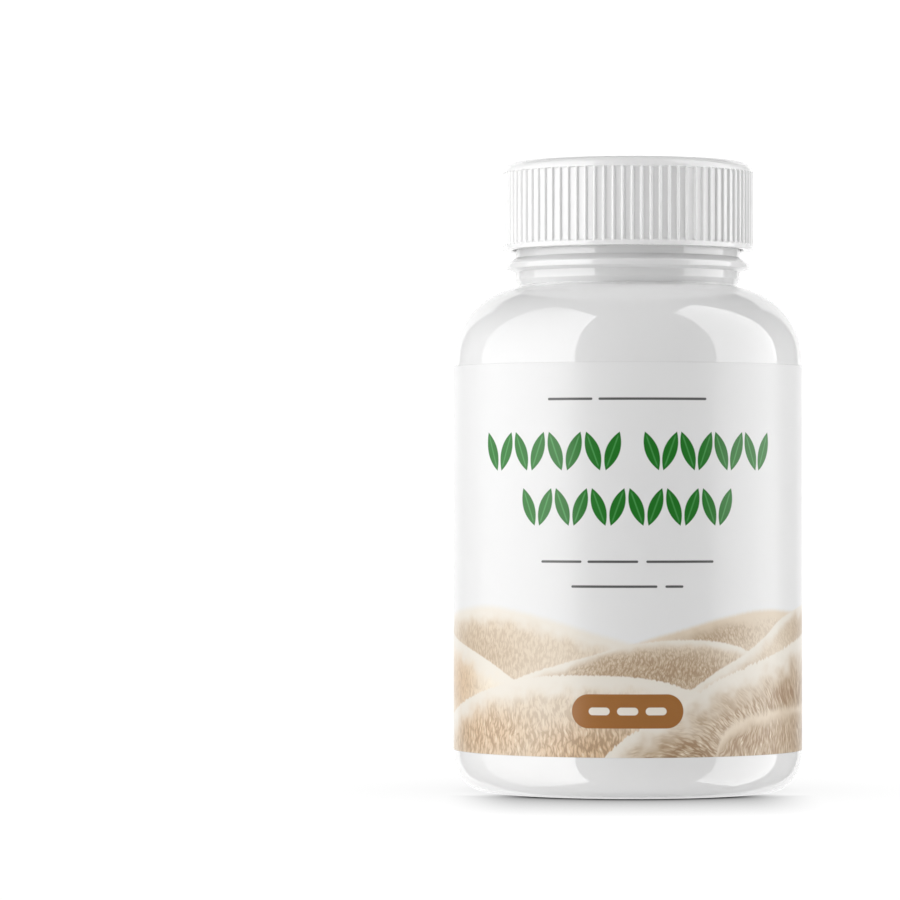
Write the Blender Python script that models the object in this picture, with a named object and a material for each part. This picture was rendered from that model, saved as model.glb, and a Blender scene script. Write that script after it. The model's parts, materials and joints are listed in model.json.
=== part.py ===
"""A hollow plastic supplement bottle with a ribbed screw cap, a sealing liner and a wrap label.

The bottle stands on its foot at z = 0 with its axis on +Z. Its front, which the label faces, is -Y.
The cap is closed, and its thread and the neck's are right-handed helices of one pitch.
"""

import math

import bmesh
import bpy

# Body, in metres
BODY_RADIUS = 0.0290
WALL_INNER_RADIUS = 0.0275
PANEL_RADIUS = 0.02855
PANEL_LOW = 0.0067
PANEL_HIGH = 0.0708
BODY_SEGMENTS = 64

# Shoulder: a quarter of a superellipse about SHOULDER_CENTRE, that meets the wall at SHOULDER_LOW
SHOULDER_LOW = 0.0710
SHOULDER_CENTRE = 0.0135
SHOULDER_RISE = 0.01325
SHOULDER_POWER = 2.2
SHOULDER_END = 0.0190
SHOULDER_WALL = 0.0012
SHOULDER_STEPS = 9

# Heel, foot and the push-up of the base
HEEL_HIGH = 0.0065
FOOT_RADIUS = 0.0240
FOOT_INNER_RADIUS = 0.0218
PUSH_UP_RADIUS = 0.0205
PUSH_UP_EDGE = 0.0009
PUSH_UP_HEIGHT = 0.0022
BASE_WALL = 0.0013
HEEL_STEPS = 6

# Neck and its transfer ring
BORE_RADIUS = 0.0160
FINISH_RADIUS = 0.01755
LIP_HEIGHT = 0.1015
LIP_ROUND = 0.0003
COLLAR_RADIUS = 0.0187
COLLAR_TOP = 0.0910
COLLAR_SLOPE = 0.0006
RING_RADIUS = 0.02025
RING_TOP = 0.0888
RING_EDGE_TOP = 0.0880
RING_EDGE_LOW = 0.0870
RING_LOW = 0.0866
GROOVE_RADIUS = 0.0183
GROOVE_HEIGHT = 0.0843

# Thread
THREAD_PITCH = 0.0254 / 6
THREAD_TURNS = 1.25
THREAD_FADE_TURNS = 0.08
THREAD_BURIED = 0.0004
NECK_THREAD_START = 0.0942
NECK_THREAD_HEIGHT = COLLAR_RADIUS - FINISH_RADIUS
CAP_THREAD_HEIGHT = 0.0013
THREAD_ROOT_WIDTH = 0.0021
THREAD_CREST_WIDTH = 0.0009
THREAD_FLANK_GAP = 0.00035

# Cap
CAP_RADIUS = 0.0209
CAP_INNER_RADIUS = 0.01925
CAP_LOW = 0.0898
CAP_TOP = 0.10435
CAP_TOP_WALL = 0.0015
CAP_EDGE_ROUND = 0.0019
CAP_LOW_ROUND = 0.0003
RIB_COUNT = 84
RIB_LOW = 0.0905
RIB_HIGH = 0.1024
RIB_HEIGHT = 0.00035
RIB_MARGIN = 0.0004
RIB_FLANK = 0.00012

# Liner and label
CLEARANCE = 0.0003
LINER_RADIUS = 0.0189
LABEL_THICKNESS = 0.00015
LABEL_LOW = 0.0069
LABEL_HIGH = 0.0705
LABEL_GAP_DEGREES = 6.0


def arc(centre, half_width, half_height, start, end, steps, power=2.0):
    """Points of a superellipse about centre, between two angles in degrees."""
    points = []
    for step in range(steps + 1):
        angle = math.radians(start + (end - start) * step / steps)
        across = abs(math.cos(angle)) ** (2 / power)
        up = abs(math.sin(angle)) ** (2 / power)
        radius = centre[0] + math.copysign(half_width * across, math.cos(angle))
        height = centre[1] + math.copysign(half_height * up, math.sin(angle))
        points.append((radius, height))
    return points


def shoulder(wall):
    """The shoulder's curve, from the neck down to the body, moved inwards by wall."""
    half_width = BODY_RADIUS - SHOULDER_CENTRE - wall
    share = (SHOULDER_END - 2 * wall - SHOULDER_CENTRE) / half_width
    start = math.degrees(math.acos(share ** (SHOULDER_POWER / 2)))
    centre = (SHOULDER_CENTRE, SHOULDER_LOW)
    return arc(centre, half_width, SHOULDER_RISE - wall, start, 0, SHOULDER_STEPS, SHOULDER_POWER)


def outside_of_neck():
    """From the lip's inner edge down over the finish, the collar, the ring and the groove."""
    return [
        (BORE_RADIUS + LIP_ROUND, LIP_HEIGHT),
        (FINISH_RADIUS - LIP_ROUND, LIP_HEIGHT),
        (FINISH_RADIUS, LIP_HEIGHT - LIP_ROUND),
        (FINISH_RADIUS, COLLAR_TOP + COLLAR_SLOPE),
        (COLLAR_RADIUS, COLLAR_TOP),
        (COLLAR_RADIUS, RING_TOP),
        (RING_RADIUS, RING_EDGE_TOP),
        (RING_RADIUS, RING_EDGE_LOW),
        (COLLAR_RADIUS, RING_LOW),
        (COLLAR_RADIUS, GROOVE_HEIGHT + 2 * LIP_ROUND),
        (GROOVE_RADIUS, GROOVE_HEIGHT),
    ]


def outside_of_body():
    """From the label panel's upper step down round the heel and under the base to the axis."""
    heel = arc((FOOT_RADIUS, HEEL_HIGH), BODY_RADIUS - FOOT_RADIUS, HEEL_HIGH, 0, -90, HEEL_STEPS)
    return [
        (PANEL_RADIUS, PANEL_HIGH),
        (PANEL_RADIUS, PANEL_LOW),
        *heel,
        (FOOT_INNER_RADIUS, 0),
        (PUSH_UP_RADIUS, PUSH_UP_EDGE),
        (0, PUSH_UP_HEIGHT),
    ]


def inside_of_bottle():
    """From the middle of the base's inner face up to the lip."""
    heel_width = WALL_INNER_RADIUS - FOOT_RADIUS
    heel_rise = HEEL_HIGH - BASE_WALL
    heel = arc((FOOT_RADIUS, HEEL_HIGH), heel_width, heel_rise, -90, 0, HEEL_STEPS // 2)
    upper = [(min(radius, WALL_INNER_RADIUS), height) for radius, height in shoulder(SHOULDER_WALL)]
    return [
        (0, PUSH_UP_HEIGHT + BASE_WALL),
        (PUSH_UP_RADIUS, PUSH_UP_EDGE + BASE_WALL),
        *heel,
        *reversed(upper[::2]),
        (BORE_RADIUS, upper[0][1] + LIP_ROUND),
        (BORE_RADIUS, LIP_HEIGHT - LIP_ROUND),
    ]


def turned(profile, segments):
    """A solid of revolution about +Z, from a profile whose two ends lie on the axis."""
    bm = bmesh.new()
    verts = [bm.verts.new((radius, 0, height)) for radius, height in profile]
    for first, second in zip(verts, verts[1:]):
        bm.edges.new((first, second))
    bmesh.ops.spin(
        bm, geom=bm.verts[:] + bm.edges[:], cent=(0, 0, 0), axis=(0, 0, 1), angle=math.tau,
        steps=segments, use_merge=True,
    )
    bmesh.ops.remove_doubles(bm, verts=bm.verts, dist=1e-7)
    bmesh.ops.recalc_face_normals(bm, faces=bm.faces)
    return bm


def object_from(bm, name, sharp_angle=30):
    """Turns a bmesh into an object of the scene, shaded smooth up to sharp_angle degrees."""
    mesh = bpy.data.meshes.new(name)
    bm.to_mesh(mesh)
    bm.free()
    mesh.shade_smooth()
    mesh.set_sharp_from_angle(angle=math.radians(sharp_angle))
    made = bpy.data.objects.new(name, mesh)
    bpy.context.scene.collection.objects.link(made)
    return made


def helical_ridge(name, wall_radius, height, start_height, segments):
    """A ridge on a round wall that winds THREAD_TURNS about +Z. Its foot is buried in the wall.

    A positive height stands outwards and a negative one inwards. Both ends fade into the wall.
    """
    outwards = math.copysign(1, height)
    steps = round(THREAD_TURNS * segments)
    fade_steps = THREAD_FADE_TURNS * segments
    bm = bmesh.new()
    rings = []
    for step in range(steps + 1):
        turns = (step + 0.5) / segments
        angle = math.tau * turns
        middle = start_height + THREAD_PITCH * turns
        fade = min(1, (step + 1) / fade_steps, (steps - step + 1) / fade_steps)
        section = (
            (wall_radius - outwards * THREAD_BURIED, -THREAD_ROOT_WIDTH / 2),
            (wall_radius + height * fade, -THREAD_CREST_WIDTH / 2),
            (wall_radius + height * fade, THREAD_CREST_WIDTH / 2),
            (wall_radius - outwards * THREAD_BURIED, THREAD_ROOT_WIDTH / 2),
        )
        rings.append([
            bm.verts.new((radius * math.cos(angle), radius * math.sin(angle), middle + rise))
            for radius, rise in section
        ])
    for near, far in zip(rings, rings[1:]):
        for side in range(4):
            after = (side + 1) % 4
            bm.faces.new((near[side], near[after], far[after], far[side]))
    bm.faces.new(rings[0])
    bm.faces.new(rings[-1])
    bmesh.ops.recalc_face_normals(bm, faces=bm.faces)
    ridge = object_from(bm, name)
    ridge.hide_render = True
    ridge.display_type = "WIRE"
    return ridge


def add_union(target, other):
    union = target.modifiers.new("thread", "BOOLEAN")
    union.operation = "UNION"
    union.solver = "EXACT"
    union.object = other


def plastic(name, colour, roughness):
    material = bpy.data.materials.new(name)
    material.use_nodes = True
    shader = material.node_tree.nodes["Principled BSDF"]
    shader.inputs["Base Color"].default_value = (*colour, 1)
    shader.inputs["Roughness"].default_value = roughness
    shader.inputs["Metallic"].default_value = 0
    return material


def make_bottle():
    profile = [
        *inside_of_bottle(),
        *outside_of_neck(),
        *shoulder(0),
        *outside_of_body(),
    ]
    bottle = object_from(turned(profile, BODY_SEGMENTS), "bottle")
    thread = helical_ridge(
        "neck_thread", FINISH_RADIUS, NECK_THREAD_HEIGHT, NECK_THREAD_START, BODY_SEGMENTS
    )
    add_union(bottle, thread)
    bottle.data.materials.append(plastic("bottle_plastic", (0.84, 0.84, 0.85), 0.18))
    return bottle


def cap_profile():
    """From the middle of the top, over the edge, down the skirt and back up the inside."""
    valley = CAP_RADIUS - RIB_HEIGHT
    edge_centre = (CAP_RADIUS - CAP_EDGE_ROUND, CAP_TOP - CAP_EDGE_ROUND)
    return [
        (0, CAP_TOP),
        *arc(edge_centre, CAP_EDGE_ROUND, CAP_EDGE_ROUND, 90, 0, 4),
        (valley, RIB_HIGH - RIB_HEIGHT),
        (valley, RIB_LOW + RIB_HEIGHT),
        (CAP_RADIUS, RIB_LOW),
        (CAP_RADIUS, CAP_LOW + CAP_LOW_ROUND),
        (CAP_RADIUS - CAP_LOW_ROUND, CAP_LOW),
        (CAP_INNER_RADIUS, CAP_LOW),
        (CAP_INNER_RADIUS, CAP_TOP - CAP_TOP_WALL),
        (0, CAP_TOP - CAP_TOP_WALL),
    ]


def raise_ribs(bm):
    """Raises one upright rib out of each tall face of the skirt."""
    middle = (RIB_LOW + RIB_HIGH) / 2
    tall = [
        face for face in bm.faces
        if abs(face.calc_center_median().z - middle) < RIB_HEIGHT
        and face.calc_center_median().xy.length > CAP_INNER_RADIUS + RIB_HEIGHT
    ]
    bmesh.ops.inset_individual(bm, faces=tall, thickness=RIB_MARGIN, depth=0)
    bmesh.ops.inset_individual(bm, faces=tall, thickness=RIB_FLANK, depth=RIB_HEIGHT)


def make_cap(closure):
    bm = turned(cap_profile(), RIB_COUNT)
    raise_ribs(bm)
    cap = object_from(bm, "cap")
    below = THREAD_PITCH / 2 - THREAD_FLANK_GAP
    thread = helical_ridge(
        "cap_thread", CAP_INNER_RADIUS, -CAP_THREAD_HEIGHT, NECK_THREAD_START - below, RIB_COUNT
    )
    add_union(cap, thread)
    cap.data.materials.append(plastic("cap_plastic", (0.82, 0.82, 0.83), 0.28))
    cap.parent = closure
    return cap


def make_liner(closure):
    low = LIP_HEIGHT + CLEARANCE
    high = CAP_TOP - CAP_TOP_WALL - CLEARANCE
    profile = [(0, high), (LINER_RADIUS, high), (LINER_RADIUS, low), (0, low)]
    liner = object_from(turned(profile, BODY_SEGMENTS), "liner")
    liner.data.materials.append(plastic("liner_foam", (0.8, 0.8, 0.78), 0.7))
    liner.parent = closure
    return liner


def make_label():
    """A thin strip round the panel, whose two ends leave a narrow gap at the back."""
    inner = BODY_RADIUS - LABEL_THICKNESS
    corners = (
        (inner, LABEL_LOW),
        (BODY_RADIUS, LABEL_LOW),
        (BODY_RADIUS, LABEL_HIGH),
        (inner, LABEL_HIGH),
    )
    bm = bmesh.new()
    turn = math.radians(90 + LABEL_GAP_DEGREES / 2)
    verts = [
        bm.verts.new((radius * math.cos(turn), radius * math.sin(turn), height))
        for radius, height in corners
    ]
    section = bm.faces.new(verts)
    bmesh.ops.spin(
        bm, geom=[section], cent=(0, 0, 0), axis=(0, 0, 1),
        angle=math.radians(360 - LABEL_GAP_DEGREES), steps=BODY_SEGMENTS,
    )
    bmesh.ops.remove_doubles(bm, verts=bm.verts, dist=1e-7)
    bmesh.ops.recalc_face_normals(bm, faces=bm.faces)
    label = object_from(bm, "label")
    label.data.materials.append(plastic("label_film", (0.86, 0.87, 0.86), 0.3))
    return label


def main():
    for old in list(bpy.data.objects):
        bpy.data.objects.remove(old, do_unlink=True)
    closure = bpy.data.objects.new("closure_axis", None)
    bpy.context.scene.collection.objects.link(closure)
    make_bottle()
    make_cap(closure)
    make_liner(closure)
    make_label()


main()
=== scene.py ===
import bmesh
import bpy
import json
import math
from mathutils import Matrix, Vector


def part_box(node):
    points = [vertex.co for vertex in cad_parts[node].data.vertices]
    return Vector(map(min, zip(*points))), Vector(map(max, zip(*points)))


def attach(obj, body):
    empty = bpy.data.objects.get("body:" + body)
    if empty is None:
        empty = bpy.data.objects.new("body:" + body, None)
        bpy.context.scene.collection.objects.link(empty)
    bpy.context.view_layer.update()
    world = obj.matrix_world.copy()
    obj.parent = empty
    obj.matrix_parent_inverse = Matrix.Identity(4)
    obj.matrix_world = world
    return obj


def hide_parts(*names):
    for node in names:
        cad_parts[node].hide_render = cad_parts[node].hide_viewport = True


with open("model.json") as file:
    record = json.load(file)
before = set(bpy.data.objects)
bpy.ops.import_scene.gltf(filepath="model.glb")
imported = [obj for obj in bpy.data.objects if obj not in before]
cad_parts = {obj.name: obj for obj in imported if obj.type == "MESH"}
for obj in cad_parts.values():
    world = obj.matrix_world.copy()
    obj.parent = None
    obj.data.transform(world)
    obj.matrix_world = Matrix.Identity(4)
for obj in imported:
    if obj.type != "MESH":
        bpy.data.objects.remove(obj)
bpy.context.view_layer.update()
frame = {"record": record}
print("frame loaded")

# Shapes are drawn in millimetres and scaled to metres when a piece is finished
mm = 0.001
bottleLow, bottleHigh = [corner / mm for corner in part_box("bottle")]
capLow, capHigh = [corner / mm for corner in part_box("cap")]
labelLow, labelHigh = [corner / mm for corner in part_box("label")]
linerLow, linerHigh = [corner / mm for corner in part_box("liner")]
threadPitch = frame["record"]["behaviour"]["couplings"][0]["ratio"] * math.tau / mm


# Modelling helpers

def superArc(centre, width, height, start, end, steps, power=2.0):
    # points of a superellipse between two angles in degrees, as radius and height
    points = []
    for step in range(steps + 1):
        angle = math.radians(start + (end - start) * step / steps)
        across = math.copysign(abs(math.cos(angle)) ** (2 / power), math.cos(angle))
        up = math.copysign(abs(math.sin(angle)) ** (2 / power), math.sin(angle))
        points.append((centre[0] + width * across, centre[1] + height * up))
    return points


def drawOutline(bm, corners, segments=5):
    # a wire in the XZ plane; a third number rounds that corner, from this far along its two edges
    verts = [bm.verts.new((corner[0], 0, corner[1])) for corner in corners]
    for first, second in zip(verts, verts[1:]):
        bm.edges.new((first, second))
    for vert, corner in zip(verts, corners):
        if len(corner) > 2:
            bmesh.ops.bevel(bm, geom=[vert], offset=corner[2], offset_type="OFFSET", segments=segments,
                            profile=0.5, affect="VERTICES", material=-1, clamp_overlap=True)


def turnRound(bm, steps):
    bmesh.ops.spin(bm, geom=bm.verts[:] + bm.edges[:], cent=(0, 0, 0), axis=(0, 0, 1),
                   angle=math.tau, steps=steps, use_merge=True)
    bmesh.ops.remove_doubles(bm, verts=bm.verts, dist=0.0005)
    bmesh.ops.recalc_face_normals(bm, faces=bm.faces)


def makeThread(wall, height, start, sizes):
    # a helical ridge on a round wall; it stands out for a positive height and in for a negative one
    bm = bmesh.new()
    turns = sizes["turns"]
    stepsPerTurn = sizes["stepsPerTurn"]
    buried = wall - math.copysign(sizes["buried"], height)
    section = [
        bm.verts.new((buried, 0, start - sizes["rootWidth"] / 2)),
        bm.verts.new((wall + height, 0, start - sizes["crestWidth"] / 2)),
        bm.verts.new((wall + height, 0, start + sizes["crestWidth"] / 2)),
        bm.verts.new((buried, 0, start + sizes["rootWidth"] / 2)),
    ]
    bm.faces.new(section)
    bmesh.ops.bevel(bm, geom=section[1:3], offset=sizes["round"], offset_type="OFFSET", segments=3,
                    profile=0.5, affect="VERTICES", material=-1, clamp_overlap=True)
    bmesh.ops.spin(bm, geom=bm.verts[:] + bm.edges[:] + bm.faces[:], cent=(0, 0, 0), axis=(0, 0, 1),
                   dvec=(0, 0, threadPitch / stepsPerTurn), angle=math.tau * turns,
                   steps=round(stepsPerTurn * turns))
    for vert in bm.verts:  # both ends run out into the wall
        angle = math.atan2(vert.co.y, vert.co.x) / math.tau
        along = angle + round((vert.co.z - start) / threadPitch - angle)
        share = min(1, max(0, min(along, turns - along) / sizes["runOut"]))
        share = sizes["least"] + (1 - sizes["least"]) * share * share * (3 - 2 * share)
        radius = vert.co.xy.length
        above = (radius - wall) / height
        if above > 0:
            vert.co.xy *= (wall + height * above * share) / radius
    bmesh.ops.recalc_face_normals(bm, faces=bm.faces)
    return bm


def unite(bm, other):
    # both closed meshes become one, by a boolean union
    objects = []
    for name, source in (("unitedBody", bm), ("unitedThread", other)):
        mesh = bpy.data.meshes.new(name)
        source.to_mesh(mesh)
        source.free()
        objects.append(bpy.data.objects.new(name, mesh))
        bpy.context.scene.collection.objects.link(objects[-1])
    union = objects[0].modifiers.new("union", "BOOLEAN")
    union.operation = "UNION"
    union.solver = "EXACT"
    union.object = objects[1]
    bpy.context.view_layer.update()
    united = bmesh.new()
    united.from_object(objects[0], bpy.context.evaluated_depsgraph_get())
    for made in objects:
        bpy.data.meshes.remove(made.data)
    return united


def finishPiece(bm, name, node, body, material, sharp=32):
    bmesh.ops.scale(bm, vec=(mm, mm, mm), verts=bm.verts)
    mesh = bpy.data.meshes.new(name)
    bm.to_mesh(mesh)
    bm.free()
    mesh.shade_smooth()
    mesh.set_sharp_from_angle(angle=math.radians(sharp))
    mesh.materials.append(material)
    piece = bpy.data.objects.new(name, mesh)
    bpy.context.scene.collection.objects.link(piece)
    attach(piece, body)
    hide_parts(node)
    print(name, "made,", len(mesh.polygons), "faces")
    return piece


# Material helpers

def feed(tree, socket, value):
    # a socket's value comes from another node, or is set here
    if isinstance(value, bpy.types.NodeSocket):
        tree.links.new(value, socket)
    else:
        socket.default_value = value


def placeNode(tree, made):
    made.location = (220 * (len(tree.nodes) % 12), -260 * (len(tree.nodes) // 12))


def addNode(tree, kind, inputs=None, **settings):
    made = tree.nodes.new(kind)
    placeNode(tree, made)
    for setting, value in settings.items():
        setattr(made, setting, value)
    for socket, value in (inputs or {}).items():
        feed(tree, made.inputs[socket], value)
    return made


def calc(tree, operation, first, second=0.0, clamp=False):
    made = addNode(tree, "ShaderNodeMath", {0: first, 1: second}, operation=operation, use_clamp=clamp)
    return made.outputs[0]


def ramp(tree, value, low, high):
    # 0 below low, 1 above high, with a soft start and end
    made = addNode(tree, "ShaderNodeMapRange", {0: value, 1: low, 2: high, 3: 0.0, 4: 1.0})
    made.interpolation_type = "SMOOTHSTEP"
    return made.outputs[0]


def mixColour(tree, factor, below, above):
    made = addNode(tree, "ShaderNodeMix", data_type="RGBA")
    for index, value in ((0, factor), (6, below), (7, above)):
        feed(tree, made.inputs[index], value)
    return made.outputs[2]


def joinVector(tree, x, y, z=0.0):
    return addNode(tree, "ShaderNodeCombineXYZ", {0: x, 1: y, 2: z}).outputs[0]


def splitVector(tree, vector):
    return addNode(tree, "ShaderNodeSeparateXYZ", {0: vector}).outputs


def addNoise(tree, position, scale, detail=2.0):
    return addNode(tree, "ShaderNodeTexNoise", {"Vector": position, "Scale": scale, "Detail": detail})


def newGroup(name, inputs, outputs):
    tree = bpy.data.node_groups.new(name, "ShaderNodeTree")
    for socket, kind in inputs:
        tree.interface.new_socket(socket, in_out="INPUT", socket_type="NodeSocket" + kind)
    for socket, kind in outputs:
        tree.interface.new_socket(socket, in_out="OUTPUT", socket_type="NodeSocket" + kind)
    return tree, tree.nodes.new("NodeGroupInput").outputs, tree.nodes.new("NodeGroupOutput").inputs


def useGroup(tree, group, inputs):
    made = tree.nodes.new("ShaderNodeGroup")
    made.node_tree = group
    placeNode(tree, made)
    for socket, value in inputs.items():
        feed(tree, made.inputs[socket], value)
    return made.outputs


def newMaterial(name, settings):
    material = bpy.data.materials.new(name)
    material.use_nodes = True
    tree = material.node_tree
    shader = tree.nodes["Principled BSDF"]
    for socket, value in settings.items():
        shader.inputs[socket].default_value = value
    coordinates = tree.nodes.new("ShaderNodeTexCoord")
    return material, tree, shader, coordinates.outputs["Object"]


# Moulded plastic: faint clouds in the colour, a slightly uneven gloss and a fine surface grain

moulded = {
    "cloudScale": 60.0,
    "streakScale": 240.0,
    "pitScale": 2600.0,
    "pitDepth": 0.00002,
}


def makeMouldedGroup():
    tree, inputs, outputs = newGroup(
        "mouldedPlastic",
        [("Position", "Vector"), ("Colour", "Color"), ("Clouding", "Float"), ("Gloss", "Float"),
         ("Unevenness", "Float"), ("Grain", "Float")],
        [("Colour", "Color"), ("Roughness", "Float"), ("Height", "Float")],
    )
    position = inputs["Position"]
    clouds = addNoise(tree, position, moulded["cloudScale"], 3.0)
    streaks = addNoise(tree, position, moulded["streakScale"])
    pits = addNoise(tree, position, moulded["pitScale"])
    shade = calc(tree, "SUBTRACT", clouds.outputs[0], 0.5)
    shade = addNode(tree, "ShaderNodeMath", {0: shade, 1: inputs["Clouding"], 2: 1.0},
                    operation="MULTIPLY_ADD").outputs[0]
    colour = addNode(tree, "ShaderNodeVectorMath", {0: inputs["Colour"], 1: shade}, operation="MULTIPLY")
    tree.links.new(colour.outputs[0], outputs["Colour"])
    rough = calc(tree, "SUBTRACT", streaks.outputs[0], 0.5)
    rough = calc(tree, "MULTIPLY", rough, inputs["Unevenness"])
    tree.links.new(calc(tree, "ADD", rough, inputs["Gloss"], clamp=True), outputs["Roughness"])
    height = calc(tree, "MULTIPLY", pits.outputs[0], inputs["Grain"])
    tree.links.new(height, outputs["Height"])
    return tree


mouldedGroup = makeMouldedGroup()


def makePlastic(name, look):
    material, tree, shader, position = newMaterial(name, look["shader"])
    surface = useGroup(tree, mouldedGroup, {
        "Position": position, "Colour": look["colour"], "Clouding": look["clouding"],
        "Gloss": look["gloss"], "Unevenness": look["unevenness"], "Grain": look["grain"],
    })
    bump = addNode(tree, "ShaderNodeBump", {
        "Strength": look["bump"], "Distance": moulded["pitDepth"], "Height": surface["Height"],
    })
    tree.links.new(surface["Colour"], shader.inputs["Base Color"])
    tree.links.new(surface["Roughness"], shader.inputs["Roughness"])
    tree.links.new(bump.outputs[0], shader.inputs["Normal"])
    return material


# The bottle

bottle = {
    "steps": 256,
    "wall": 1.5,
    "bore": 16.0,
    "finish": 17.55,            # the wall that the thread stands on
    "collar": (18.7, 91.0),     # the plain neck under the cap: radius and top
    "collarSlope": 0.6,
    "ring": (20.25, 88.55, 87.5, 86.65, 86.2),   # radius, then heights from its top root to its low root
    "groove": (18.05, 84.0, 0.9),   # radius, height, and the height of the slope above it
    "shoulderCentre": 13.5,
    "shoulderLow": 71.0,
    "shoulderRise": 13.25,
    "shoulderPower": 2.2,
    "shoulderEnd": 18.3,
    "shoulderWall": 1.2,
    "boreRise": 0.4,            # how far above the shoulder's inside the bore starts
    "panelDepth": 0.1,
    "panelGap": 0.008,
    "heel": (5.0, 6.5),         # width and height of its quarter ellipse
    "foot": 21.8,
    "pushUp": (20.4, 0.9, 2.2),     # radius, then its edge's and its middle's heights
    "pushUpSag": 0.25,          # how much lower than its middle it is half-way out
    "baseWall": 1.3,
    "rounds": {
        "base": 1.0, "boreStart": 0.3, "lipInside": 0.35, "lip": 0.45, "collar": 0.3, "root": 0.1,
        "ring": 0.16, "groove": 0.12, "foot": 0.5,
    },
    "threadStart": 94.2,
    "thread": {
        "turns": 1.25, "stepsPerTurn": 120,
        "rootWidth": 2.1, "crestWidth": 0.95, "buried": 0.4, "round": 0.22,
        "runOut": 0.09,         # turns over which an end rises out of the wall
        "least": 0.08,          # the share of its height that is left at the very end
    },
    "look": {
        "shader": {"IOR": 1.66},
        "colour": (0.78, 0.78, 0.78, 1), "clouding": 0.02, "gloss": 0.02, "unevenness": 0.015,
        "grain": 0.3, "bump": 0.01,
    },
}


def shoulderCurve(wall):
    width = bottleHigh.x - bottle["shoulderCentre"] - wall
    inner = bottle["shoulderEnd"] - 2 * wall
    start = math.acos(((inner - bottle["shoulderCentre"]) / width) ** (bottle["shoulderPower"] / 2))
    return superArc((bottle["shoulderCentre"], bottle["shoulderLow"]), width,
                    bottle["shoulderRise"] - wall, math.degrees(start), 0, 28, bottle["shoulderPower"])


def bottleOutline():
    body = bottleHigh.x
    panel = body - bottle["panelDepth"]
    gap = bottle["panelGap"]
    collar, collarTop = bottle["collar"]
    ring, ringRoot, ringTop, ringLow, ringUnder = bottle["ring"]
    groove, grooveHeight, grooveSlope = bottle["groove"]
    heelWidth, heelHeight = bottle["heel"]
    pushUp, pushUpEdge, pushUpMiddle = bottle["pushUp"]
    foot = body - heelWidth
    base = bottle["baseWall"]
    lip = bottleHigh.z
    sag = bottle["pushUpSag"]
    rounds = bottle["rounds"]
    innerShoulder = shoulderCurve(bottle["shoulderWall"])
    inside = [
        (0, pushUpMiddle + base),
        (pushUp / 2, pushUpMiddle + base - sag),
        (pushUp, pushUpEdge + base, rounds["base"]),
        *superArc((foot, heelHeight), heelWidth - bottle["wall"], heelHeight - base, -90, 0, 12),
        *reversed([(min(radius, body - bottle["wall"]), height) for radius, height in innerShoulder]),
        (bottle["bore"], innerShoulder[0][1] + bottle["boreRise"], rounds["boreStart"]),
        (bottle["bore"], lip, rounds["lipInside"]),
    ]
    neck = [
        (bottle["finish"], lip, rounds["lip"]),
        (bottle["finish"], collarTop + bottle["collarSlope"], rounds["collar"]),
        (collar, collarTop, rounds["collar"]),
        (collar, ringRoot, rounds["root"]),
        (ring, ringTop, rounds["ring"]),
        (ring, ringLow, rounds["ring"]),
        (collar, ringUnder, rounds["root"]),
        (collar, grooveHeight + grooveSlope, rounds["root"]),
        (groove, grooveHeight, rounds["groove"]),
    ]
    shoulder = shoulderCurve(0)
    shoulder[0] = (*shoulder[0], rounds["groove"])
    panelEdges = [
        (body, labelHigh.z + 2 * gap, gap),
        (panel, labelHigh.z + gap, gap / 2),
        (panel, labelLow.z - gap, gap / 2),
        (body, labelLow.z - 2 * gap, gap),
    ]
    heel = superArc((foot, heelHeight), heelWidth, heelHeight, 0, -90, 24)
    under = [
        (bottle["foot"], 0, rounds["foot"]),
        (pushUp, pushUpEdge, rounds["foot"]),
        (pushUp / 2, pushUpMiddle - sag),
        (0, pushUpMiddle),
    ]
    return inside + neck + shoulder + panelEdges + heel + under


def makeBottle():
    bm = bmesh.new()
    drawOutline(bm, bottleOutline())
    turnRound(bm, bottle["steps"])
    height = bottle["collar"][0] - bottle["finish"]
    thread = makeThread(bottle["finish"], height, bottle["threadStart"], bottle["thread"])
    bm = unite(bm, thread)
    return finishPiece(bm, "bottleShell", "bottle", "bottle",
                       makePlastic("bottlePlastic", bottle["look"]))


# The cap

cap = {
    "ribs": 84,
    "stepsPerRib": 10,
    "ribLow": 90.5,
    "ribHigh": 102.95,
    "ribHeight": 0.36,
    "ribShare": 0.36,           # of the pitch
    "crowding": 0.62,           # how closely the steps gather at a rib, from 0 to 1
    "edge": (2.0, 1.7),         # width and height of the rounded top edge
    "rim": 2.0,                 # the flat ring inside that edge
    "inner": 19.25,
    "innerSkin": 0.4,           # the ribs leave the wall alone up to this far out from the inside
    "topWall": 1.5,
    "threadHeight": 1.3,
    "flankGap": 0.35,
    "rounds": {"ribs": 0.2, "band": 0.15, "under": 0.2, "mouth": 0.25, "corner": 0.4},
    "look": {
        "shader": {"IOR": 1.52},
        "colour": (0.83, 0.83, 0.83, 1), "clouding": 0.02, "gloss": 0.1, "unevenness": 0.03,
        "grain": 0.5, "bump": 0.03,
    },
}


def capOutline():
    outer = capHigh.x
    valley = outer - cap["ribHeight"]
    edgeWidth, edgeHeight = cap["edge"]
    slope = cap["ribHeight"]
    under = capHigh.z - cap["topWall"]
    rounds = cap["rounds"]
    return [
        (0, capHigh.z),
        (outer - edgeWidth - cap["rim"], capHigh.z),
        *superArc((outer - edgeWidth, capHigh.z - edgeHeight), edgeWidth, edgeHeight, 90, 0, 10),
        (valley, cap["ribHigh"] - slope, rounds["ribs"]),
        (valley, cap["ribLow"] + slope, rounds["ribs"]),
        (outer, cap["ribLow"], rounds["band"]),
        (outer, capLow.z, rounds["under"]),
        (cap["inner"], capLow.z, rounds["mouth"]),
        (cap["inner"], under, rounds["corner"]),
        (0, under),
    ]


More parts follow.
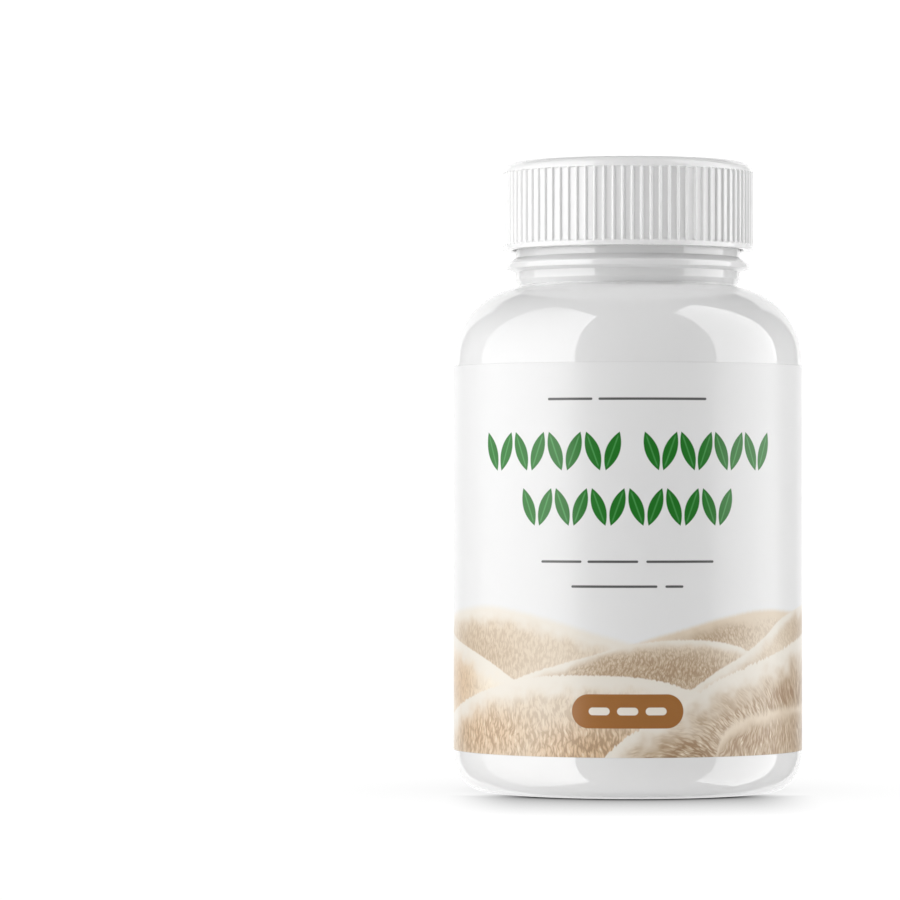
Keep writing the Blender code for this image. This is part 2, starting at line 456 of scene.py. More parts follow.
def raiseRibs(bm):
    outer = capHigh.x
    for vert in bm.verts:
        radius = vert.co.xy.length
        if radius < cap["inner"] + cap["innerSkin"]:
            continue
        # the steps gather at each rib, and a rounded ridge rises there out of the valley
        angle = math.atan2(vert.co.y, vert.co.x)
        phase = angle * cap["ribs"]
        offset = math.remainder(phase - cap["crowding"] * math.sin(phase), math.tau) / math.pi
        turned = angle - cap["crowding"] * math.sin(phase) / cap["ribs"]
        share = max(0, 1 - (offset / cap["ribShare"]) ** 2)
        inZone = cap["ribLow"] < vert.co.z < cap["ribHigh"]
        lift = max(0, outer - radius) * math.sqrt(share) if inZone else 0
        vert.co.x = (radius + lift) * math.cos(turned)
        vert.co.y = (radius + lift) * math.sin(turned)


def makeCap():
    bm = bmesh.new()
    drawOutline(bm, capOutline())
    turnRound(bm, cap["ribs"] * cap["stepsPerRib"])
    raiseRibs(bm)
    start = bottle["threadStart"] - (threadPitch / 2 - cap["flankGap"])
    thread = makeThread(cap["inner"], -cap["threadHeight"], start, bottle["thread"])
    bm = unite(bm, thread)
    return finishPiece(bm, "screwCap", "cap", "cap", makePlastic("capPlastic", cap["look"]))


# The liner

liner = {
    "steps": 128,
    "round": 0.12,
    "look": {
        "shader": {"Specular IOR Level": 0.3},
        "colour": (0.82, 0.82, 0.8, 1), "clouding": 0.1, "gloss": 0.6, "unevenness": 0.1,
        "grain": 3.0, "bump": 0.5,
    },
}


def makeLiner():
    bm = bmesh.new()
    drawOutline(bm, [
        (0, linerHigh.z),
        (linerHigh.x, linerHigh.z, liner["round"]),
        (linerHigh.x, linerLow.z, liner["round"]),
        (0, linerLow.z),
    ], segments=3)
    turnRound(bm, liner["steps"])
    return finishPiece(bm, "sealingLiner", "liner", "liner",
                       makePlastic("linerFoam", liner["look"]))


# The label: a white film with leaf garlands, plain strokes, a badge and a landscape of woolly hills.
# Its print is laid out in millimetres, across from the middle of the front and up from the ground.

green = (0.01, 0.165, 0.012, 1)
paleGreen = (0.06, 0.3, 0.07, 1)
ink = (0.1, 0.1, 0.1, 1)
cream = (0.77, 0.725, 0.65, 1)
sand = (0.71, 0.61, 0.485, 1)
tan = (0.53, 0.41, 0.285, 1)
amber = (0.64, 0.44, 0.26, 1)
bark = (0.33, 0.21, 0.12, 1)
straw = (0.82, 0.74, 0.61, 1)

label = {
    "thickness": 0.09,
    "proud": 0.01,              # how far it lies inside the bottle's widest radius
    "gapDegrees": 6.0,
    "steps": 240,
    "printTurn": 2.13,          # degrees that the middle of the print is turned left of the front
    "printRadius": 28.95,
    "halfGirth": 91.0,          # how far round the back meets, from the middle of the front
    "tallestCrest": 40.0,       # the height that the hills' curves are scaled by
    "film": (0.775, 0.775, 0.775, 1),
    "ior": 1.5,
    "gloss": (0.27, 0.33),      # its least and its greatest roughness
    # rows of leaves: start, how many, pitch, middle height, half length, half width
    "garlands": [(-26.4, 8, 3.2, 56.2, 3.35, 1.15), (2.4, 8, 3.0, 56.2, 3.35, 1.1),
                 (-18.4, 12, 3.05, 47.2, 3.25, 1.1)],
    "leafTilt": 20.0,
    # strokes: middle across, middle height, half width
    "strokes": [(-9.5, 64.6, 3.8), (4.2, 64.6, 8.9), (-11.0, 38.4, 3.5), (-2.4, 38.4, 4.1),
                (8.7, 38.4, 5.7), (-2.2, 34.4, 7.0), (7.6, 34.4, 1.5)],
    "strokeHeight": 0.2,
    # blocks of plain rows round the back: middle across, top height, half width
    "blocks": [(-62, 65.0, 13.0), (62, 65.0, 13.0)],
    "blockRows": (1.0, 0.94, 0.98, 0.9, 0.96, 0.55, 0.0, 1.0, 0.93, 0.7),   # each row's share of that width
    "rowPitch": 2.6,
    "barEdge": 0.05,            # how far a bar's outline blurs to each side
    "leafEdge": (-0.04, 0.08),
    "midrib": (0.17, 0.07),     # where a leaf's midrib fades out and where it is full
    "midribTaper": (0.25, 0.6),
    "spotFade": (1.4, 0.2),     # in reaches: where a spot of shade ends and where it is full
    "cloudScale": 120.0,
    "badge": {"middle": (0, 14.35), "half": (9.1, 2.75), "colour": (0.33, 0.135, 0.032, 1)},
    "capsules": [-4.6, 0, 4.6],
    "capsuleHalf": (1.7, 0.62),
}

# The hills, from the farthest to the nearest. Lean is the strands' angle, how much it fans out and about
# where; strand is one strand's width and length; a spot of shade is across, up, its two reaches and depth.
hills = [
    {
        "crest": [(-91, 26), (-73, 23), (-55, 26.5), (-41, 29.5), (-32, 30.6), (-26, 31), (-20, 30.4),
                  (-13, 29), (-6, 27), (1, 25), (14, 20), (40, 8), (91, 5)],
        "seed": 1.0, "lean": (3, 0, -25), "strand": (0.34, 0.95),
        "rim": 3.4, "fringe": 0.1, "softness": 1.4, "contrast": 0.62,
        "rimColour": cream, "bodyColour": sand, "shadeColour": tan,
        "shade": [(-30, 23, 13, 6, 0.55), (-70, 17, 16, 6, 0.6)],
    },
    {
        "crest": [(-91, 5), (-20, 14), (1, 25), (9, 27.4), (18, 29.6), (25, 30.4), (32, 30.1), (41, 29.2),
                  (55, 26), (72, 23.5), (91, 26)],
        "seed": 2.0, "lean": (-20, 0, 20), "strand": (0.32, 0.7),
        "rim": 2.2, "fringe": 0.1, "softness": 1.0, "contrast": 0.65,
        "rimColour": sand, "bodyColour": sand, "shadeColour": tan,
        "shade": [(15, 26.5, 8, 3, 0.8), (72, 18, 16, 6, 0.6)],
    },
    {
        "crest": [(-91, 4), (-40, 10), (-19, 19.5), (-11, 21.9), (-5, 23.5), (-1, 24.7), (3, 25.4),
                  (9, 25.8), (15.5, 25.4), (21, 24), (32, 19), (50, 10), (91, 4)],
        "seed": 3.0, "lean": (10, -1.2, 5), "strand": (0.32, 0.65),
        "rim": 1.6, "fringe": 0.2, "softness": 0.35, "contrast": 0.75,
        "rimColour": cream, "bodyColour": sand, "shadeColour": tan,
        "shade": [(5, 20.5, 16, 4, 0.95)],
    },
    {
        "crest": [(-91, 4), (0, 11), (11, 18.1), (15.7, 21), (20.3, 23.2), (25.6, 26.2), (31.4, 29.3),
                  (40, 30.8), (52, 31), (66, 28), (80, 23), (91, 19)],
        "seed": 4.0, "lean": (-35, 0, 25), "strand": (0.3, 0.9),
        "rim": 2.6, "fringe": 0.15, "softness": 0.4, "contrast": 0.45,
        "rimColour": cream, "bodyColour": sand, "shadeColour": tan,
        "shade": [(40, 27, 10, 4, 0.7), (22, 20.5, 8, 3, 0.3), (66, 23, 12, 4, 0.5)],
    },
    {
        "crest": [(-91, 20), (-75, 24.5), (-60, 27), (-48, 27), (-39.5, 25.6), (-28.5, 23), (-19.5, 19),
                  (-8, 13), (20, 6), (91, 4)],
        "seed": 5.0, "lean": (4, 0, -35), "strand": (0.34, 1.2),
        "rim": 5.0, "fringe": 0.12, "softness": 0.3, "contrast": 0.5,
        "rimColour": cream, "bodyColour": straw, "shadeColour": amber,
        "shade": [(-37, 18, 9, 6, 0.75), (-68, 16, 14, 6, 0.6)],
    },
    {
        "crest": [(-91, 12), (-72, 9), (-55, 10.5), (-41, 13.3), (-32, 15.9), (-26, 17.5), (-15, 19.8),
                  (-7, 20.1), (3, 19.6), (9, 18.1), (13, 16.8), (26, 10), (50, 5), (91, 4)],
        "seed": 6.0, "lean": (-2, -0.35, -12), "strand": (0.4, 1.35),
        "rim": 4.7, "fringe": 0.3, "softness": 0.3, "contrast": 0.95,
        "rimColour": cream, "bodyColour": sand, "shadeColour": amber,
        "shade": [(-6, 7, 13, 6, 0.8), (-28, 10, 14, 5, 0.65)],
    },
    {
        "crest": [(-91, 19), (-84, 12), (-60, 3), (-9, 3), (-3.6, 7.2), (0.4, 10.6), (4, 12.6), (8.6, 15.4),
                  (12.4, 17.6), (15.7, 19.4), (20, 20.9), (27, 23), (40, 25.8), (56, 27), (75, 23),
                  (91, 17)],
        "seed": 7.0, "lean": (-42, 1.7, 20), "strand": (0.3, 2.0),
        "rim": 6.5, "fringe": 0.5, "softness": 0.35, "contrast": 1.1,
        "rimColour": cream, "bodyColour": sand, "shadeColour": tan,
        "shade": [(8, 7.5, 10, 3.8, 1.0), (36, 15, 14, 9, 1.0),
                  (18, 14.5, 14, 6, 0.65), (70, 14, 14, 6, 0.6)],
    },
    {
        "crest": [(-91, 8), (-80, 4), (0, 0), (13.5, 4), (15, 7.4), (16.6, 11), (20.2, 12.8), (27.8, 14.1),
                  (40, 14.4), (60, 14.5), (78, 12), (91, 9)],
        "seed": 8.0, "lean": (8, -1.5, 25), "strand": (0.3, 1.8),
        "rim": 2.5, "fringe": 0.7, "softness": 1.6, "contrast": 0.95,
        "rimColour": sand, "bodyColour": sand, "shadeColour": tan,
        "shade": [(24, 8.5, 14, 5, 1.0), (38, 10, 13, 6, 1.0), (66, 8, 12, 5, 0.6)],
    },
]


def makeWrapGroup():
    # where a point is on the wrapped film, in millimetres
    tree, inputs, outputs = newGroup(
        "wrapPlace",
        [("Position", "Vector"), ("Turn", "Float"), ("Radius", "Float")],
        [("Across", "Float"), ("Up", "Float")],
    )
    x, y, z = splitVector(tree, inputs["Position"])
    angle = calc(tree, "ARCTAN2", x, calc(tree, "MULTIPLY", y, -1.0))
    angle = calc(tree, "ADD", angle, calc(tree, "RADIANS", inputs["Turn"]))
    tree.links.new(calc(tree, "MULTIPLY", angle, inputs["Radius"]), outputs["Across"])
    tree.links.new(calc(tree, "MULTIPLY", z, 1 / mm), outputs["Up"])
    return tree


def makeStrokeGroup():
    # a rounded bar: 1 inside, 0 outside
    tree, inputs, outputs = newGroup(
        "roundedBar",
        [("Across", "Float"), ("Up", "Float"), ("Middle Across", "Float"), ("Middle Up", "Float"),
         ("Half Width", "Float"), ("Half Height", "Float")],
        [("Mask", "Float")],
    )
    side = calc(tree, "ABSOLUTE", calc(tree, "SUBTRACT", inputs["Across"], inputs["Middle Across"]))
    side = calc(tree, "SUBTRACT", side, calc(tree, "SUBTRACT", inputs["Half Width"], inputs["Half Height"]))
    side = calc(tree, "MAXIMUM", side, 0.0)
    rise = calc(tree, "SUBTRACT", inputs["Up"], inputs["Middle Up"])
    away = addNode(tree, "ShaderNodeVectorMath", {0: joinVector(tree, side, rise)}, operation="LENGTH")
    within = calc(tree, "SUBTRACT", inputs["Half Height"], away.outputs["Value"])
    tree.links.new(ramp(tree, within, -label["barEdge"], label["barEdge"]), outputs["Mask"])
    return tree


def makeGarlandGroup():
    # a row of leaves that lean left and right by turns, each with a pale midrib
    tree, inputs, outputs = newGroup(
        "leafGarland",
        [("Across", "Float"), ("Up", "Float"), ("Start", "Float"), ("Count", "Float"), ("Pitch", "Float"),
         ("Middle Up", "Float"), ("Half Length", "Float"), ("Half Width", "Float"), ("Tilt", "Float")],
        [("Leaves", "Float"), ("Midribs", "Float")],
    )
    place = calc(tree, "DIVIDE", calc(tree, "SUBTRACT", inputs["Across"], inputs["Start"]), inputs["Pitch"])
    number = calc(tree, "FLOOR", place)
    side = calc(tree, "SUBTRACT", calc(tree, "MULTIPLY", calc(tree, "MODULO", number, 2.0), 2.0), 1.0)
    x = calc(tree, "MULTIPLY", calc(tree, "SUBTRACT", calc(tree, "FRACT", place), 0.5), inputs["Pitch"])
    y = calc(tree, "SUBTRACT", inputs["Up"], inputs["Middle Up"])
    angle = calc(tree, "MULTIPLY", calc(tree, "RADIANS", inputs["Tilt"]), side)
    turned = addNode(tree, "ShaderNodeVectorRotate", {"Vector": joinVector(tree, x, y), "Angle": angle},
                     rotation_type="Z_AXIS").outputs[0]
    x, y, z = splitVector(tree, turned)
    along = calc(tree, "DIVIDE", y, inputs["Half Length"])
    taper = calc(tree, "SUBTRACT", 1.0, calc(tree, "MULTIPLY", along, along))
    x = calc(tree, "ABSOLUTE", x)
    inside = calc(tree, "SUBTRACT", calc(tree, "MULTIPLY", taper, inputs["Half Width"]), x)
    leaves = ramp(tree, inside, *label["leafEdge"])
    leaves = calc(tree, "MULTIPLY", leaves, calc(tree, "GREATER_THAN", place, 0.0))
    leaves = calc(tree, "MULTIPLY", leaves, calc(tree, "LESS_THAN", place, inputs["Count"]))
    tree.links.new(leaves, outputs["Leaves"])
    rib = calc(tree, "MULTIPLY", ramp(tree, x, *label["midrib"]), ramp(tree, taper, *label["midribTaper"]))
    tree.links.new(calc(tree, "MULTIPLY", rib, leaves), outputs["Midribs"])
    return tree


def makeSpotGroup():
    # a soft oval spot, strongest in its middle
    tree, inputs, outputs = newGroup(
        "softSpot",
        [("Across", "Float"), ("Up", "Float"), ("Middle Across", "Float"), ("Middle Up", "Float"),
         ("Reach Across", "Float"), ("Reach Up", "Float"), ("Depth", "Float")],
        [("Mask", "Float")],
    )
    x = calc(tree, "DIVIDE", calc(tree, "SUBTRACT", inputs["Across"], inputs["Middle Across"]),
             inputs["Reach Across"])
    y = calc(tree, "DIVIDE", calc(tree, "SUBTRACT", inputs["Up"], inputs["Middle Up"]), inputs["Reach Up"])
    away = addNode(tree, "ShaderNodeVectorMath", {0: joinVector(tree, x, y)}, operation="LENGTH")
    fade = ramp(tree, away.outputs["Value"], *label["spotFade"])
    tree.links.new(calc(tree, "MULTIPLY", fade, inputs["Depth"]), outputs["Mask"])
    return tree


wool = {
    "seedStep": 7.3,            # how far apart two hills' noises lie
    "tuftScale": 0.33,
    "tuftPush": (1.6, 1.2, 0.0),
    "fanHeight": 12.0,          # the height that the strands turn about
    "hairScale": 1.7,
    "hairDepth": 1.1,
    "strandMiddle": 0.62,
    "strandSpread": 0.35,       # how much one strand differs from the next
    "fringeScale": (2.1, 0.35),
    "fringeDepth": 3.0,
    "rimWobble": 1.2,
    "rimFade": (0.15, 1.1),     # in rims below the crest: where the body starts and where it is full
    "shadeFade": (0.0, 0.8),
    "inLight": 0.45,            # the strands' strength in the light
    "inShade": 0.75,            # what full shade adds to it
    "darkStrands": (0.3, -0.15),
    "brightStrands": (0.3, 0.75),
    "darkShare": 0.75,
    "brightShare": 0.7,
}


def makeWoolGroup():
    # one woolly hill laid over what is behind it
    tree, inputs, outputs = newGroup(
        "woollyHill",
        [("Behind", "Color"), ("Across", "Float"), ("Up", "Float"), ("Crest", "Float"), ("Shade", "Float"),
         ("Seed", "Float"), ("Lean", "Float"), ("Fan", "Float"), ("Fan Middle", "Float"),
         ("Strand Width", "Float"), ("Strand Length", "Float"), ("Rim", "Float"), ("Fringe", "Float"),
         ("Softness", "Float"), ("Contrast", "Float"),
         ("Rim Colour", "Color"), ("Body Colour", "Color"), ("Shade Colour", "Color")],
        [("Colour", "Color")],
    )
    depth = calc(tree, "MULTIPLY", inputs["Seed"], wool["seedStep"])
    place = joinVector(tree, inputs["Across"], inputs["Up"], depth)
    # wide tufts push the strands about, so that they part and gather
    tufts = addNoise(tree, place, wool["tuftScale"])
    push = addNode(tree, "ShaderNodeVectorMath", {0: tufts.outputs["Color"], 1: (0.5, 0.5, 0.5)},
                   operation="SUBTRACT").outputs[0]
    pushed = addNode(tree, "ShaderNodeVectorMath", {0: push, 1: wool["tuftPush"], 2: place},
                     operation="MULTIPLY_ADD").outputs[0]
    # the strands lean, and fan out to both sides of a middle
    spread = calc(tree, "SUBTRACT", inputs["Across"], inputs["Fan Middle"])
    lean = calc(tree, "ADD", inputs["Lean"], calc(tree, "MULTIPLY", spread, inputs["Fan"]))
    centre = joinVector(tree, inputs["Fan Middle"], wool["fanHeight"])
    angle = calc(tree, "RADIANS", lean)
    combed = addNode(tree, "ShaderNodeVectorRotate", {"Vector": pushed, "Center": centre, "Angle": angle},
                     rotation_type="Z_AXIS").outputs[0]
    x, y, z = splitVector(tree, combed)
    x = calc(tree, "DIVIDE", x, inputs["Strand Width"])
    y = calc(tree, "DIVIDE", y, inputs["Strand Length"])
    strandPlace = joinVector(tree, x, y, z)
    strands = addNode(tree, "ShaderNodeTexVoronoi", {"Vector": strandPlace, "Scale": 1.0})
    hairs = addNoise(tree, strandPlace, wool["hairScale"])
    single = splitVector(tree, strands.outputs["Color"])[0]
    lit = calc(tree, "SUBTRACT", wool["strandMiddle"], strands.outputs["Distance"])
    for value, share in ((single, wool["strandSpread"]), (hairs.outputs[0], wool["hairDepth"])):
        lit = calc(tree, "ADD", lit, calc(tree, "MULTIPLY", calc(tree, "SUBTRACT", value, 0.5), share))
    # the crest is ragged with strands; below it a pale rim turns into the body
    fringeAcross, fringeUp = wool["fringeScale"]
    fringePlace = joinVector(tree, calc(tree, "MULTIPLY", inputs["Across"], fringeAcross),
                             calc(tree, "MULTIPLY", inputs["Up"], fringeUp), inputs["Seed"])
    ragged = addNoise(tree, fringePlace, 1.0)
    ragged = calc(tree, "MULTIPLY", calc(tree, "SUBTRACT", ragged.outputs[0], 0.5), inputs["Fringe"])
    below = calc(tree, "SUBTRACT", inputs["Crest"], inputs["Up"])
    edge = calc(tree, "ADD", below, calc(tree, "MULTIPLY", ragged, wool["fringeDepth"]))
    edge = calc(tree, "DIVIDE", edge, inputs["Softness"])
    cover = ramp(tree, edge, -0.5, 0.5)
    wobble = calc(tree, "MULTIPLY", calc(tree, "SUBTRACT", tufts.outputs[0], 0.5), wool["rimWobble"])
    inward = calc(tree, "ADD", calc(tree, "DIVIDE", below, inputs["Rim"]), wobble)
    body = ramp(tree, inward, *wool["rimFade"])
    shade = calc(tree, "MULTIPLY", inputs["Shade"], ramp(tree, inward, *wool["shadeFade"]))
    colour = mixColour(tree, body, inputs["Rim Colour"], inputs["Body Colour"])
    colour = mixColour(tree, shade, colour, inputs["Shade Colour"])
    # strands brighten and darken the body, and hardly show on the rim
    strength = calc(tree, "MULTIPLY", inputs["Contrast"], calc(tree, "MULTIPLY", body, body))
    inShade = calc(tree, "ADD", wool["inLight"], calc(tree, "MULTIPLY", shade, wool["inShade"]))
    strength = calc(tree, "MULTIPLY", strength, inShade)
    dark = calc(tree, "MULTIPLY", ramp(tree, lit, *wool["darkStrands"]), strength)
    bright = calc(tree, "MULTIPLY", ramp(tree, lit, *wool["brightStrands"]), strength)
    colour = mixColour(tree, calc(tree, "MULTIPLY", dark, wool["darkShare"]), colour, bark)
    colour = mixColour(tree, calc(tree, "MULTIPLY", bright, wool["brightShare"]), colour, straw)
    tree.links.new(mixColour(tree, cover, inputs["Behind"], colour), outputs["Colour"])
    return tree


def crestCurve(tree, across, points):
    # a smooth line through a few points, drawn right round the film
    half = label["halfGirth"]
    tallest = label["tallestCrest"]
    share = calc(tree, "DIVIDE", calc(tree, "ADD", across, half), 2 * half)
    made = addNode(tree, "ShaderNodeFloatCurve", {"Value": share})
    curve = made.mapping.curves[0]
    while len(curve.points) < len(points):
        curve.points.new(0.5, 0.5)
    for point, (place, height) in zip(curve.points, points):
        point.location = ((place + half) / (2 * half), height / tallest)
    made.mapping.update()
    return calc(tree, "MULTIPLY", made.outputs[0], tallest)


def makeLabelFilm():
    material, tree, shader, position = newMaterial("labelFilm", {"IOR": label["ior"]})
    wrap = useGroup(tree, makeWrapGroup(), {
        "Position": position, "Turn": label["printTurn"], "Radius": label["printRadius"],
    })
    place = {"Across": wrap["Across"], "Up": wrap["Up"]}
    colour = label["film"]
    garlandGroup = makeGarlandGroup()
    for start, count, pitch, height, halfLength, halfWidth in label["garlands"]:
        row = useGroup(tree, garlandGroup, {
            **place, "Start": start, "Count": count, "Pitch": pitch, "Middle Up": height,
            "Half Length": halfLength, "Half Width": halfWidth, "Tilt": label["leafTilt"],
        })
        colour = mixColour(tree, row["Leaves"], colour, green)
        colour = mixColour(tree, row["Midribs"], colour, paleGreen)
    barGroup = makeStrokeGroup()
    strokes = list(label["strokes"])
    for middle, height, half in label["blocks"]:
        for row, share in enumerate(label["blockRows"]):
            if share:
                start = middle - half
                strokes.append((start + half * share, height - row * label["rowPitch"], half * share))
    for middle, height, half in strokes:
        bar = useGroup(tree, barGroup, {**place, "Middle Across": middle, "Middle Up": height,
                                        "Half Width": half, "Half Height": label["strokeHeight"]})
        colour = mixColour(tree, bar["Mask"], colour, ink)
    woolGroup = makeWoolGroup()
    spotGroup = makeSpotGroup()
    for hill in hills:
        shade = None
        for across, up, reachAcross, reachUp, depth in hill["shade"]:
            spot = useGroup(tree, spotGroup, {
                **place, "Middle Across": across, "Middle Up": up, "Reach Across": reachAcross,
                "Reach Up": reachUp, "Depth": depth,
            })["Mask"]
            shade = calc(tree, "MAXIMUM", shade, spot) if shade else spot
        crest = crestCurve(tree, wrap["Across"], hill["crest"])
        lean, fan, fanMiddle = hill["lean"]
        strandWidth, strandLength = hill["strand"]
        colour = useGroup(tree, woolGroup, {
            **place, "Behind": colour, "Crest": crest, "Shade": shade, "Seed": hill["seed"],
            "Lean": lean, "Fan": fan, "Fan Middle": fanMiddle,
            "Strand Width": strandWidth, "Strand Length": strandLength,
            "Rim": hill["rim"], "Fringe": hill["fringe"], "Softness": hill["softness"],
            "Contrast": hill["contrast"], "Rim Colour": hill["rimColour"],
            "Body Colour": hill["bodyColour"], "Shade Colour": hill["shadeColour"],
        })["Colour"]
    badge = label["badge"]
    badgeMiddle, badgeUp = badge["middle"]
    bar = useGroup(tree, barGroup, {
        **place, "Middle Across": badgeMiddle, "Middle Up": badgeUp,
        "Half Width": badge["half"][0], "Half Height": badge["half"][1],
    })
    colour = mixColour(tree, bar["Mask"], colour, badge["colour"])
    capsuleWidth, capsuleHeight = label["capsuleHalf"]
    for aside in label["capsules"]:
        bar = useGroup(tree, barGroup, {
            **place, "Middle Across": badgeMiddle + aside, "Middle Up": badgeUp,
            "Half Width": capsuleWidth, "Half Height": capsuleHeight,
        })
        colour = mixColour(tree, bar["Mask"], colour, cream)
    tree.links.new(colour, shader.inputs["Base Color"])
    clouds = addNoise(tree, position, label["cloudScale"], 3.0)
    least, greatest = label["gloss"]
    uneven = addNode(tree, "ShaderNodeMapRange", {0: clouds.outputs[0], 3: least, 4: greatest})
    tree.links.new(uneven.outputs[0], shader.inputs["Roughness"])
    return material


def makeLabel():
    outer = labelHigh.x - label["proud"]
    inner = outer - label["thickness"]
    bm = bmesh.new()
    start = math.radians(90 + label["gapDegrees"] / 2)
    verts = [
        bm.verts.new((radius * math.cos(start), radius * math.sin(start), height))
        for radius, height in ((inner, labelLow.z), (outer, labelLow.z), (outer, labelHigh.z),
                               (inner, labelHigh.z))
    ]
    bm.faces.new(verts)
    bmesh.ops.spin(bm, geom=bm.verts[:] + bm.edges[:] + bm.faces[:], cent=(0, 0, 0), axis=(0, 0, 1),
                   angle=math.radians(360 - label["gapDegrees"]), steps=label["steps"])
    bmesh.ops.recalc_face_normals(bm, faces=bm.faces)
    return finishPiece(bm, "wrapLabel", "label", "bottle", makeLabelFilm())


makeBottle()
makeCap()
makeLiner()
makeLabel()


# Studio: two tall softboxes beside the bottle, a dim backdrop and a white floor

studio = {
    "cameraDistance": 0.795,
    "cameraHeight": 0.0484,
    "cameraAside": -0.0296,
    "lens": 190.84,
    "sensor": 36,
    "rise": 0.055,
    "clip": (0.01, 50),
    "softboxDistance": 0.75,
    # azimuths run from the front, positive to the right; heights and radiance follow
    "left": {"inner": -36, "outer": -112, "low": -1.28, "high": 1.89, "atInner": 3.1, "atOuter": 1.25},
    "right": {"inner": 57, "outer": 112, "low": -0.95, "high": 1.93, "atInner": 2.1, "atOuter": 2.6},
    "backdrop": 0.34,
    "backdropStart": (0.15, 0.5),   # these ranges are parts of a direction of length 1
    "backdropTop": (0.35, 0.75),
    "around": 0.05,
    "card": 1.12,               # a white card straight behind, which shows along the shoulder's rim
    "cardSide": (0.55, 0.47),
    "cardTop": (0.56, 0.5),
    "cardStart": (0.6, 0.7),
    "floorHalf": 6,
    "floorColour": (0.9, 0.9, 0.9, 1),
    "floorGlow": 0.24,
    "floorWhite": 1.04,
    "shadowReach": 0.045,
    "shadowDepth": 1.6,
    "shadowBeside": 0.15,       # its strength beside and behind the bottle, against that in front
    "shadowFront": (-0.8, -0.4),    # where it fades towards the back, as part of a direction
    "shadowSide": (0.018, 0.031),   # where it fades towards the sides
}


def makeCamera():
    data = bpy.data.cameras.new("camera")
    data.lens = studio["lens"]
    data.sensor_width = studio["sensor"]
    data.shift_y = studio["rise"]
    data.clip_start, data.clip_end = studio["clip"]
    camera = bpy.data.objects.new("camera", data)
    camera.location = (studio["cameraAside"], -studio["cameraDistance"], studio["cameraHeight"])
    camera.rotation_euler = (math.radians(90), 0, 0)
    bpy.context.scene.collection.objects.link(camera)
    bpy.context.scene.camera = camera


def addSoftbox(name, box):
    # a flat box facing the bottle, with a soft fall-off from its inner edge to its outer one
    distance = studio["softboxDistance"]
    middle = math.radians((box["inner"] + box["outer"]) / 2)
    width = 2 * distance * math.tan(math.radians(abs(box["outer"] - box["inner"]) / 2))
    height = box["high"] - box["low"]
    data = bpy.data.lights.new(name, "AREA")
    data.shape = "RECTANGLE"
    data.size = width
    data.size_y = height
    data.energy = math.pi * width * height
    data.use_nodes = True
    tree = data.node_tree
    emission = tree.nodes["Emission"]
    place = tree.nodes.new("ShaderNodeNewGeometry").outputs["Parametric"]
    along = splitVector(tree, place)[0]
    flip = box["outer"] < box["inner"]
    first, last = (box["atOuter"], box["atInner"]) if flip else (box["atInner"], box["atOuter"])
    fall = addNode(tree, "ShaderNodeMapRange", {0: along, 1: 0.0, 2: 1.0, 3: first, 4: last})
    fall.interpolation_type = "SMOOTHSTEP"
    tree.links.new(fall.outputs[0], emission.inputs["Strength"])
    light = bpy.data.objects.new(name, data)
    raised = (box["low"] + box["high"]) / 2
    light.location = (distance * math.sin(middle), -distance * math.cos(middle), raised)
    light.rotation_euler = (math.radians(90), 0, middle)
    bpy.context.scene.collection.objects.link(light)


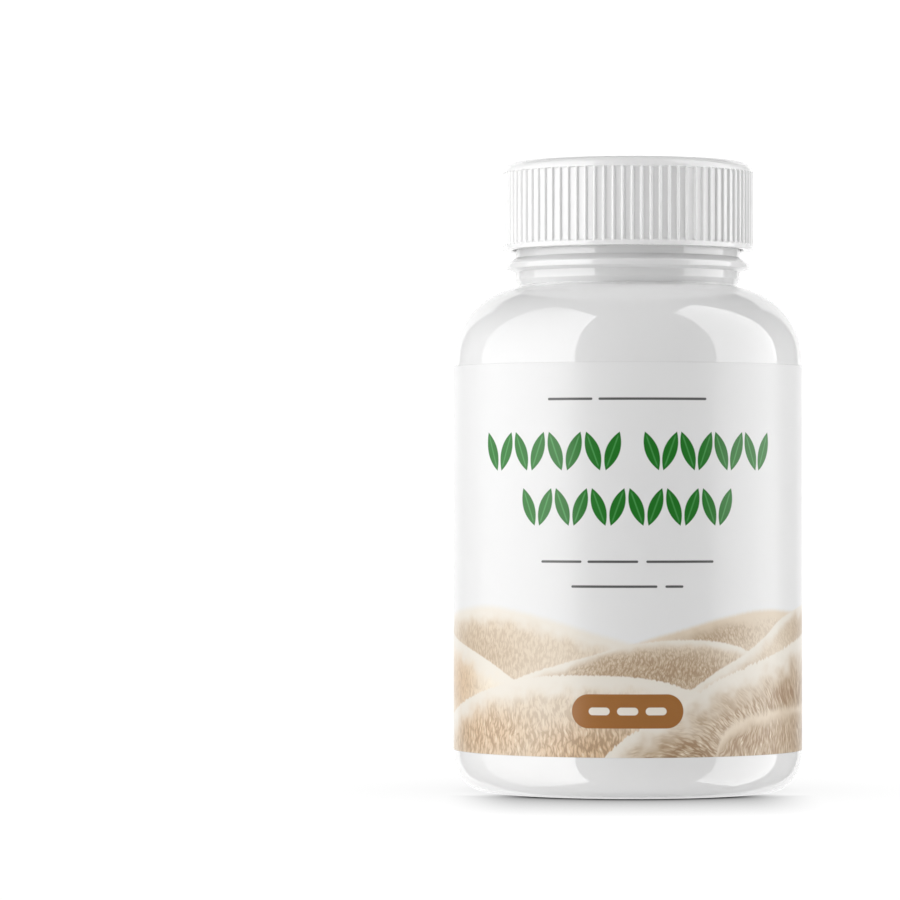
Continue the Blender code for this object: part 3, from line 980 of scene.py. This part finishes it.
def makeFloor():
    # a white painted floor lights the bottle; the camera sees it as a plain white glow with a painted soft
    # contact shadow
    bm = bmesh.new()
    bmesh.ops.create_grid(bm, x_segments=1, y_segments=1, size=studio["floorHalf"])
    mesh = bpy.data.meshes.new("floor")
    bm.to_mesh(mesh)
    bm.free()
    floor = bpy.data.objects.new("floor", mesh)
    material, tree, shader, position = newMaterial("floorPaint", {
        "Roughness": 0.6, "Specular IOR Level": 0.2, "Emission Color": (1, 1, 1, 1),
    })
    shader.inputs["Base Color"].default_value = studio["floorColour"]
    shader.inputs["Emission Strength"].default_value = studio["floorGlow"]
    # painted contact shadow: the occlusion around the bottle darkens the glow that the camera sees, mostly
    # in front
    shadow = addNode(tree, "ShaderNodeAmbientOcclusion", {"Distance": studio["shadowReach"]}, samples=16)
    shade = calc(tree, "POWER", shadow.outputs["AO"], studio["shadowDepth"])
    direction = addNode(tree, "ShaderNodeVectorMath", {0: position}, operation="NORMALIZE").outputs[0]
    behind = ramp(tree, splitVector(tree, direction)[1], *studio["shadowFront"])
    aside = ramp(tree, calc(tree, "ABSOLUTE", splitVector(tree, position)[0]), *studio["shadowSide"])
    beside = calc(tree, "MULTIPLY", calc(tree, "MAXIMUM", behind, aside), 1 - studio["shadowBeside"])
    shade = addNode(tree, "ShaderNodeMix", {0: beside, 2: shade, 3: 1.0}).outputs[0]
    shade = calc(tree, "MULTIPLY", shade, studio["floorWhite"])
    shadowPaintedGlow = addNode(tree, "ShaderNodeEmission", {"Color": (1, 1, 1, 1), "Strength": shade})
    seen = tree.nodes.new("ShaderNodeLightPath").outputs["Is Camera Ray"]
    both = addNode(tree, "ShaderNodeMixShader", {0: seen, 1: shader.outputs[0], 2: shadowPaintedGlow.outputs[0]})
    tree.links.new(both.outputs[0], tree.nodes["Material Output"].inputs["Surface"])
    mesh.materials.append(material)
    bpy.context.scene.collection.objects.link(floor)
    floor.visible_glossy = False


def makeWorld():
    world = bpy.data.worlds.new("studio")
    world.use_nodes = True
    tree = world.node_tree
    background = tree.nodes["Background"]
    direction = tree.nodes.new("ShaderNodeTexCoord").outputs["Generated"]
    across, away, up = splitVector(tree, direction)
    behind = calc(tree, "SUBTRACT", ramp(tree, away, *studio["backdropStart"]),
                  ramp(tree, up, *studio["backdropTop"]), clamp=True)
    glow = addNode(tree, "ShaderNodeMapRange", {0: behind, 3: studio["around"], 4: studio["backdrop"]})
    cardSides = ramp(tree, calc(tree, "ABSOLUTE", across), *studio["cardSide"])
    card = calc(tree, "MULTIPLY", cardSides, ramp(tree, up, *studio["cardTop"]))
    card = calc(tree, "MULTIPLY", card, ramp(tree, away, *studio["cardStart"]))
    glow = calc(tree, "MAXIMUM", glow.outputs[0], calc(tree, "MULTIPLY", card, studio["card"]))
    seen = tree.nodes.new("ShaderNodeLightPath").outputs["Is Camera Ray"]
    strength = calc(tree, "MAXIMUM", glow, seen)
    tree.links.new(strength, background.inputs["Strength"])
    background.inputs["Color"].default_value = (1, 1, 1, 1)
    bpy.context.scene.world = world


makeCamera()
addSoftbox("softboxLeft", studio["left"])
addSoftbox("softboxRight", studio["right"])
makeFloor()
makeWorld()
bpy.context.scene.view_settings.view_transform = "Standard"
print("studio set")
